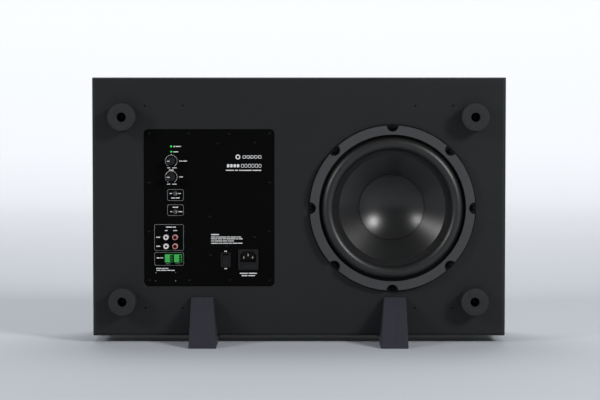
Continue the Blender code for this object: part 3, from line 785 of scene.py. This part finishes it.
KNOBS = {"volume": place_of("volume_knob"), "crossover": place_of("crossover_knob")}
LEDS = {"power_led": place_of("power_led"), "signal_led": place_of("signal_led")}
TOGGLES = {"standby": place_of("standby_switch"), "phase": place_of("phase_switch")}
RCA = place_of("rca_block")
RCA_PITCH = 14.2
TERMINAL_PITCH = 3.81
TERMINALS = [place_of("terminal_plug_1"), place_of("terminal_plug_2")]
ROCKER = place_of("rocker_housing")
INLET = place_of("mains_inlet")
DRAWER = place_of("fuse_drawer")
EARTH_PIN = place_of("inlet_earth_pin")
ROCKER_TILT = 7.0
SCREW_INSET = 7.2
SCREW_RISE = 0.9
INNER_SCREWS = ((13.7, 100.2), (71.6, 101.3), (0.9, -15.1), (71.0, -47.4), (27.2, -61.2),
                (1.2, -76.1))


def rca_places():
    half = RCA_PITCH / 2
    return [shifted(RCA, i * half, j * half) for j in (1, -1) for i in (-1, 1)]


def plate_screws():
    """Four screws along each edge of the plate, and the few that hold the parts behind it."""
    wide, high = (side / 2 - SCREW_INSET for side in PLATE_SIZE)
    for i in range(4):
        for j in range(4):
            if i in (0, 3) or j in (0, 3):
                yield shifted(PLATE, wide * (2 * i / 3 - 1), high * (2 * j / 3 - 1) + SCREW_RISE)
    for dx, dz in INNER_SCREWS:
        yield shifted(PLATE, dx, dz + SCREW_RISE)


def make_plate():
    plate = slab("control_plate", PLATE, PLATE_SIZE, -3, 0, PLATE_CORNER, 0.35, 8)
    round_holes = ((KNOBS.values(), 4.0, 40), (LEDS.values(), 1.8, 24),
                   (TOGGLES.values(), 3.7, 40), (rca_places(), 4.7, 40),
                   (plate_screws(), 1.5, 16))
    cutters = [rod("hole", place, radius, -6, 3, sides)
               for places, radius, sides in round_holes for place in places]
    terminals = ((TERMINALS[0][0] + TERMINALS[1][0]) / 2, TERMINALS[0][1])
    for place, size in ((terminals, (29.2, 14.2)), (ROCKER, (13.6, 21.2)), (INLET, (28.6, 30))):
        cutters.append(slab("hole", place, size, -6, 3, 0.3, 0))
    carve(plate, cutters)
    even_normals(plate)
    dress(plate, "cabinet", "plate", ["amp_plate"])
    mesh = screw_mesh("plate_screw", 2.6, 1.5, 1.3, 3.2, 0.02)
    for index, place in enumerate(plate_screws(), 1):
        put_screw(f"plate_screw_{index}", mesh, place, 0.61 * index)


def make_knob(name):
    """A fluted knob with a white pointer let into its top."""
    def flute(radius, out, turn):
        if radius < 6.2 or not 2.9 < out < 13:
            return radius
        return radius - 0.22 * (0.5 + 0.5 * math.cos(24 * turn)) ** 2

    place = KNOBS[name]
    profile = [(0, 13.6), (4.6, 13.6), (5.2, 14, 0.3), (5.9, 14, 0.6), (6.4, 12.6, 0.4),
               (6.85, 3.6, 0.2), (6.85, 3.0, 0.3), (2.9, 3.0), (2.9, -9), (0, -9)]
    knob = lathe(f"{name}_dial", profile, place, 192, wobble=flute)
    body = f"{name}_control"
    dress(knob, body, "knob", [f"{name}_knob"])
    mark = slab(f"{name}_pointer", shifted(place, -3.9, 0), (4.6, 1.1), 13.3, 14.0, 0.4, 0.15)
    dress(mark, body, "ink")


def make_led(name):
    place = LEDS[name]
    profile = [(0, 1.4), (0.8, 1.25), (1.3, 0.8), (1.5, 0.1), (1.5, -5), (0, -5)]
    lens = lathe(f"{name}_lens", profile, place, 40)
    dress(lens, "cabinet", "led", [name])


def make_toggle(name):
    """A lever switch: a turned nickel collar and a lever with a swollen tip."""
    place = TOGGLES[name]
    collar_profile = [(0, -6), (2.5, -6), (2.5, 1.5, 0.2), (3.4, 1.5, 0.25), (3.4, 0.2),
                      (3.4, -3.3), (6, -3.3), (6, -15), (0, -15)]
    collar = lathe(f"{name}_collar", collar_profile, place, 48)
    dress(collar, "cabinet", "gunmetal", [f"{name}_switch"])
    lever_profile = [(0, 10.5), (0.75, 10.3), (1.15, 9.6), (1.25, 8.8), (1.05, 6.5), (0.85, 3),
                     (0.85, -1.5), (0, -1.5)]
    lever = lathe(f"{name}_bat", lever_profile, None, 32)
    lever.location = at(place, -3)
    lever.rotation_euler = (0, 0, math.radians(12))
    dress(lever, f"{name}_toggle", "nickel", [f"{name}_lever"])


def make_rca():
    """Four phono sockets: white on the left, red on the right, on one moulded block."""
    base = slab("rca_moulding", RCA, (31, 30), -20, -3.3, 1, 0.4)
    wells = [rod("well", place, 4.1, -15, 5) for place in rca_places()]
    carve(base, wells)
    dress(base, "cabinet", "socket", ["rca_block"])
    shell = [(3.3, 8, 0.1), (3.95, 8, 0.2), (3.95, 1.6), (3.95, -12), (3.3, -12)]
    insert = [(1.9, -10), (1.9, 7.6, 0.3), (3.25, 7.9, 0.3), (3.25, -10)]
    collar = [(4.0, -3.0), (4.0, 2.4), (4.25, 2.2), (4.25, -3.0)]
    for index, place in enumerate(rca_places(), 1):
        # The red sockets' barrels and collars are painted pink, a painted reflection of the red insert on
        # metal.
        tip, colour = ("jack_white", "jack_white") if index % 2 else ("jack_red_reflection", "jack_red")
        barrel = lathe(f"rca_barrel_{index}", shell, place, 48, closed=True)
        dress(barrel, "cabinet", tip)
        dress(lathe(f"rca_insert_{index}", insert, place, 48, closed=True), "cabinet", colour)
        # A near-black rod fills each socket's centre hole: painted shade in the hole.
        dress(rod(f"rca_hole_shade_{index}", place, 1.85, -9, 6.6, 24), "cabinet", "hole")
        dress(lathe(f"rca_rim_{index}", collar, place, 48, closed=True), "cabinet", tip)


def make_terminal(index):
    """A three-way header with its screw-terminal plug, three wire holes down its right side."""
    place = TERMINALS[index - 1]
    header = slab(f"terminal_shroud_{index}", place, (13.8, 13.4), -14, 0.8, 0.4, 0.2)
    carve(header, [slab("well", place, (12.0, 11.6), -12.5, 5, 0.3, 0)])
    dress(header, "cabinet", "header", [f"terminal_header_{index}"])
    plug = slab(f"terminal_connector_{index}", shifted(place, -0.35, 0), (11.5, 12.2), 1.2, 7.5,
                0.5, 0.3)
    carve(plug, [slab("tongue", place, (11.2, 11.0), -11, 2, 0.3, 0)], "UNION")
    rises = (-TERMINAL_PITCH, 0, TERMINAL_PITCH)
    carve(plug, [slab("wire_hole", shifted(place, 3.5, rise), (3.35, 3.25), -3, 9, 0.4, 0)
                 for rise in rises])
    body = f"plug_{index}"
    dress(plug, body, "terminal", [f"terminal_plug_{index}"])
    for way, rise in enumerate(rises, 1):
        # A near-black block fills each wire hole: painted shade in the hole.
        wire_hole_shade = slab(f"clamp_{index}_{way}", shifted(place, 3.5, rise), (3.3, 3.2), -2.8, 6.8,
                     0.4, 0.1)
        dress(wire_hole_shade, body, "hole")


def make_rocker():
    """A rocker in its bezel; its lower half is pressed in."""
    bezel = slab("rocker_bezel", ROCKER, (15.7, 23.2), 0.3, 1.8, 1.2, 0.5)
    carve(bezel, [slab("case", ROCKER, (13, 20.6), -17, 1, 0.4, 0)], "UNION")
    carve(bezel, [slab("well", ROCKER, (11.2, 19.8), -9, 5, 0.5, 0)])
    dress(bezel, "cabinet", "socket", ["rocker_housing"])
    half, front = 8.7, 7.0
    outline = [(-half - 0.4, 0.5), (-half, front)]
    for k in range(1, 16):
        t = k / 16
        z = -half + 2 * half * t
        outline.append((z, front - 1.9 * (1 - abs(2 * t - 1)) ** 0.8))
    outline += [(half, front), (half + 0.4, 0.5), (3, -3.2), (-3, -3.2)]
    bm = bmesh.new()
    loft(bm, [[bm.verts.new((x * MM, -out * MM, z * MM)) for z, out in outline]
              for x in (-5.3, 5.3)])
    paddle = link("rocker_paddle", to_mesh(bm, "rocker_paddle"), at(ROCKER, -4))
    round_edges(paddle, 0.35, 3, 40)
    paddle.rotation_euler = (math.radians(ROCKER_TILT), 0, 0)
    dress(paddle, "rocker", "socket", ["power_rocker"])


def make_inlet():
    """The mains inlet: a rounded flange, a cavity with two cut corners, and blade pins."""
    inlet = slab("inlet_shell", INLET, (32, 33.3), 0.3, 3.0, 2.5, 0.9, 8)
    carve(inlet, [slab("body", INLET, (28, 29.4), -26, 1, 1, 0)], "UNION")
    cavity = shifted(EARTH_PIN, 0, -2.8)
    wide, high, cut = 12.2, 8.3, 5.0
    outline = [(-wide, -high), (wide, -high), (wide, high - cut), (wide - cut, high),
               (cut - wide, high), (-wide, high - cut)]
    levels = [(-14, 0), (2.2, 0), (3.2, 0.6)]
    carve(inlet, [extrude("cavity", outline, levels, cavity),
                  slab("slot", DRAWER, (24.4, 8.8), -21, 8, 0.4, 0)])
    even_normals(inlet)
    dress(inlet, "cabinet", "socket", ["mains_inlet"])
    for name in ("inlet_live_pin", "inlet_earth_pin", "inlet_neutral_pin"):
        pin = slab(f"{name}_blade", place_of(name), (1.7, 4.0), -13.7, -1.0, 0.6, 0.6, 4)
        dress(pin, "cabinet", "pin", [name])


def make_fuse_drawer():
    drawer = slab("fuse_carrier", DRAWER, (23.6, 8.0), -20, 3.8, 0.6, 0.35)
    pocket = slab("pocket", DRAWER, (20.8, 5.9), -25, -11, 0.2, 0)
    thumb = rod("thumb_notch", shifted(DRAWER, 0, 6.2), 4.2, 3.2, 6, 48)
    carve(drawer, [pocket, thumb])
    dress(drawer, "fuse_holder", "socket", ["fuse_drawer"])


# Print on the plate: scales, outlines and plain bars in place of words

INK_LOW, INK_HIGH = 0.004, 0.05


def ink_prism(bm, outline, place):
    """Adds a thin printed shape, given by its outline in millimetres, to a mesh."""
    loft(bm, [[bm.verts.new(at(shifted(place, x, z), out)) for x, z in outline]
              for out in (INK_LOW, INK_HIGH)])


def ink_bar(bm, place, width, height):
    ink_prism(bm, list(rounded_outline(width, height, min(width, height) * 0.3, 2)), place)


def ink_words(bm, place, widths, height, gap=0.7, align="left"):
    """A row of bars that stands for a line of words."""
    total = sum(widths) + gap * (len(widths) - 1)
    x = {"left": 0, "middle": -total / 2, "right": -total}[align]
    for width in widths:
        ink_bar(bm, shifted(place, x + width / 2, 0), width, height)
        x += width + gap


def ink_band(bm, place, inner, outer):
    """A closed band between two outlines with the same number of points."""
    loops = []
    for outline in (inner, outer):
        for out in (INK_LOW, INK_HIGH):
            loops.append([bm.verts.new(at(shifted(place, x, z), out)) for x, z in outline])
    order = [loops[0], loops[1], loops[3], loops[2]]
    for one, two in zip(order, order[1:] + order[:1]):
        bridge(bm, one, two)


def ink_frame(bm, place, width, height, radius, line):
    inner = list(rounded_outline(width - 2 * line, height - 2 * line, radius - line, 6))
    ink_band(bm, place, inner, list(rounded_outline(width, height, radius, 6)))


def ink_arc(bm, place, radius, line, start, end, steps=72):
    """An open arc, with angles in degrees, anticlockwise from the right."""
    turns = [math.radians(start + (end - start) * k / steps) for k in range(steps + 1)]
    outer = [((radius + line / 2) * math.cos(t), (radius + line / 2) * math.sin(t))
             for t in turns]
    inner = [((radius - line / 2) * math.cos(t), (radius - line / 2) * math.sin(t))
             for t in reversed(turns)]
    ink_prism(bm, outer + inner, place)


def ink_boxes(bm, place, count, size, line, gap):
    """A row of small rounded boxes that ends at place and stands for large lettering."""
    step = size[0] + gap
    start = size[0] / 2 - (count * size[0] + (count - 1) * gap)
    for k in range(count):
        ink_frame(bm, shifted(place, start + k * step, 0), *size, size[0] * 0.3, line)


def control_print(bm):
    """Scales and words beside the knobs, lamps and switches."""
    for name, words in {"volume": (5.5, 6.0), "crossover": (6.0,)}.items():
        place = KNOBS[name]
        low = -10.7 if name == "volume" else -11.4
        ink_arc(bm, place, 9.3, 0.4, -60, 240)
        ink_words(bm, shifted(place, 12.3, 0), words, 1.4, 0.9)
        ink_words(bm, shifted(place, -1.8, low), (4.9,), 1.2, align="right")
        ink_words(bm, shifted(place, 1.4, low), (7.0,), 1.2)
    ink_bar(bm, shifted(KNOBS["volume"], 0, 10.4), 1.3, 1.0)
    ink_words(bm, shifted(KNOBS["volume"], 0, -14.2), (7.4,), 1.5, align="middle")
    ink_words(bm, shifted(LEDS["power_led"], 3.4, 0), (3.4, 7.6), 1.4, 0.9)
    ink_words(bm, shifted(LEDS["signal_led"], 3.4, 0), (7.8,), 1.4)
    for name, rise, widths in (("standby", -7.0, (6.0, 6.4)), ("phase", 7.0, (8.6,))):
        place = TOGGLES[name]
        ink_words(bm, shifted(place, -5.0, 0), (4.0 if rise < 0 else 3.0,), 1.3, align="right")
        ink_words(bm, shifted(place, 4.6, 0), (4.0 if rise < 0 else 6.4,), 1.3)
        ink_words(bm, shifted(place, 0, rise), widths, 1.5, 0.9, "middle")


def socket_print(bm):
    """Words beside the sockets, the terminals, the rocker and the inlet."""
    ink_words(bm, shifted(RCA, 0.5, 23.0), (9.4, 5.2), 1.5, 0.9, "middle")
    for dx, width in ((-6.9, 4.1), (7.3, 6.1)):
        ink_words(bm, shifted(RCA, dx, 17.6), (width,), 1.3, align="middle")
    for row in (1, -1):
        ink_words(bm, shifted(RCA, -19.6, row * 7.1), (6.4,), 1.5, align="middle")
    ink_words(bm, shifted(TERMINALS[0], -9.0, 0.4), (4.6, 5.0), 1.8, 0.9, "right")
    for row, words in enumerate(((8.2, 5.0, 4.6), (6.2, 9.4, 6.2, 5.0))):
        ink_words(bm, shifted(PLATE, -83.4, -95.4 - 3.0 * row), words, 1.3)
    for dx in (-84.0, -53.0):
        for dz in (-101.9, -114.7):
            ink_bar(bm, shifted(PLATE, dx, dz), 0.7, 0.9)
    ink_words(bm, shifted(INLET, 0, -21.6), (13, 13), 1.5, 1.2, "middle")
    ink_words(bm, shifted(INLET, 0, -25.3), (9, 10.6), 1.5, 1.2, "middle")
    for rise in (13.6, -13.6):
        ink_words(bm, shifted(ROCKER, 0, rise), (1.9, 1.9), 1.7, 0.5, "middle")


def plate_print():
    """All the white print on the plate, and the small grey words under the terminals."""
    bm = bmesh.new()
    control_print(bm)
    socket_print(bm)
    ink_words(bm, shifted(PLATE, 3.0, -42.0), (12.6,), 1.7)
    lines = ((7, 3, 13, 5, 9, 7), (10, 7, 5, 14, 4, 6), (5, 12, 7, 10), (11, 6, 9, 5, 8, 7))
    for widths, rise in zip(lines, (-45.8, -48.7, -52.0, -55.6)):
        ink_words(bm, shifted(PLATE, 3.0, rise), widths, 1.3)
    right = 82.2
    ink_boxes(bm, shifted(PLATE, right, 80.2), 5, (5.0, 5.0), 0.8, 1.1)
    ink_arc(bm, shifted(PLATE, right - 36.8, 80.2), 3.0, 1.6, 0, 359.5)
    ink_boxes(bm, shifted(PLATE, right, 66.3), 6, (4.4, 5.6), 0.7, 1.1)
    ink_words(bm, shifted(PLATE, right - 34.6, 66.3), (3.9,) * 4, 5.2, 1.3, "right")
    ink_words(bm, shifted(PLATE, right, 59.2), (13, 5, 20, 14), 1.5, 1.3, "right")
    dress(link("plate_print", to_mesh(bm, "plate_print")), "cabinet", "ink")
    faint = bmesh.new()
    for place, width in zip(TERMINALS, (7.2, 6.8)):
        ink_words(faint, shifted(place, -1.4, -8.9), (width,), 1.1, align="middle")
    dress(link("plate_small_print", to_mesh(faint, "plate_small_print")), "cabinet", "grey_ink")


def plate_frames():
    """The thin grey outlines that group the controls and sockets."""
    bm = bmesh.new()
    x_right = -181.0
    for z_high, z_low, x_left, radius in ((231.8, 213.0, -207.6, 3), (207.9, 189.6, -207.6, 3),
                                          (176.6, 134.6, -228.1, 2.4),
                                          (132.7, 110.9, -228.1, 2.4)):
        z_low, z_high = z_low + CAB_LOW.z / MM, z_high + CAB_LOW.z / MM
        middle = ((x_left + x_right) / 2 * MM, (z_low + z_high) / 2 * MM)
        ink_frame(bm, middle, x_right - x_left - 1, z_high - z_low - 0.8, radius, 0.5)
    frames = link("plate_outlines", to_mesh(bm, "plate_outlines"))
    dress(frames, "cabinet", "grey_ink")


def make_amplifier():
    make_plate()
    for name in KNOBS:
        make_knob(name)
    for name in LEDS:
        make_led(name)
    for name in TOGGLES:
        make_toggle(name)
    make_rca()
    make_terminal(1)
    make_terminal(2)
    make_rocker()
    make_inlet()
    make_fuse_drawer()
    plate_print()
    plate_frames()


# The CAD nodes that stay as they are get a full material too

KEPT = {
    "inner_brace": "board", "driver_basket": "basket", "coil_former": "former",
    "voice_coil": "copper", "spider": "spider", "top_plate": "zinc", "magnet": "ferrite",
    "pole_yoke": "zinc", "amp_gasket": "foam", "amp_housing": "zinc",
    "circuit_board": "circuit", "transformer": "ferrite", "volume_pot": "zinc",
    "crossover_pot": "zinc", "fuse": "glass",
}


def paint_kept_nodes():
    for name, material in KEPT.items():
        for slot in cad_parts[name].material_slots:
            slot.material = MATERIALS[material]


# Stage, light and camera

CAMERA_LENS = 117.5
CAMERA_X = 0.0015
CAMERA_AWAY = 3.075
CAMERA_RISE = 0.365
CAMERA_DIP = 2.8


def make_stage():
    """A floor that sweeps up into a backdrop behind the object."""
    front, back, radius, top, half = -30.0, 7.0, 3.0, 7.0, 9.0
    profile = [(front, 0.0), (back - radius, 0.0)]
    for k in range(1, 25):
        turn = math.pi / 2 * k / 24
        profile.append((back - radius + radius * math.sin(turn), radius - radius * math.cos(turn)))
    profile.append((back, top))
    bm = bmesh.new()
    sides = [[bm.verts.new((x, y, z)) for y, z in profile] for x in (-half, half)]
    for i in range(len(profile) - 1):
        bm.faces.new((sides[0][i], sides[1][i], sides[1][i + 1], sides[0][i + 1]))
    floor = link("studio_sweep", to_mesh(bm, "studio_sweep", 60))
    floor.data.materials.append(stage_material())


def add_light(name, direction, distance, size, power):
    """A round soft light, aimed at the middle of the object."""
    target = Vector((0, 0, (CAB_LOW.z + CAB_HIGH.z) / 2))
    data = bpy.data.lights.new(name, "AREA")
    data.shape = "DISK"
    data.size = size
    data.energy = power
    light = bpy.data.objects.new(name, data)
    bpy.context.scene.collection.objects.link(light)
    light.location = target + Vector(direction).normalized() * distance
    light.rotation_euler = (target - light.location).to_track_quat("-Z", "Y").to_euler()


def make_lights():
    """Two soft keys, a broad light above and behind, and a world that only looks bright."""
    add_light("right_soft", (0.671, -0.606, 0.427), 4.2, 1.15, 95)
    add_light("left_soft", (-0.768, -0.523, 0.369), 4.2, 1.05, 52)
    add_light("top_soft", (0.0, 0.42, 0.9), 3.2, 1.9, 36)
    world = bpy.data.worlds.new("studio")
    world.use_nodes = True
    tree = world.node_tree
    seen = tree.nodes.new("ShaderNodeLightPath").outputs["Is Camera Ray"]
    mix = tree.nodes.new("ShaderNodeMixShader")
    tree.links.new(seen, mix.inputs["Fac"])
    for socket, strength in ((1, WORLD_LIGHT), (2, WORLD_SEEN)):
        background = tree.nodes.new("ShaderNodeBackground")
        background.inputs["Color"].default_value = (0.97, 0.985, 1.0, 1.0)
        background.inputs["Strength"].default_value = strength
        tree.links.new(background.outputs["Background"], mix.inputs[socket])
    tree.links.new(mix.outputs["Shader"], tree.nodes["World Output"].inputs["Surface"])
    bpy.context.scene.world = world
    bpy.context.scene.view_settings.view_transform = "Standard"


def make_camera():
    """Just above the cabinet's middle, looking slightly down at the driver side."""
    data = bpy.data.cameras.new("camera")
    data.sensor_width = 36.0  # millimetres, as is the lens
    data.lens = CAMERA_LENS
    camera = bpy.data.objects.new("camera", data)
    bpy.context.scene.collection.objects.link(camera)
    camera.location = (CAMERA_X, FACE_Y - CAMERA_AWAY, CAB_LOW.z + CAMERA_RISE)
    camera.rotation_euler = (math.radians(90 - CAMERA_DIP), 0, 0)
    bpy.context.scene.camera = camera


make_camera()
make_cabinet()
make_feet()
make_stands()
make_driver()
make_amplifier()
paint_kept_nodes()
make_stage()
make_lights()
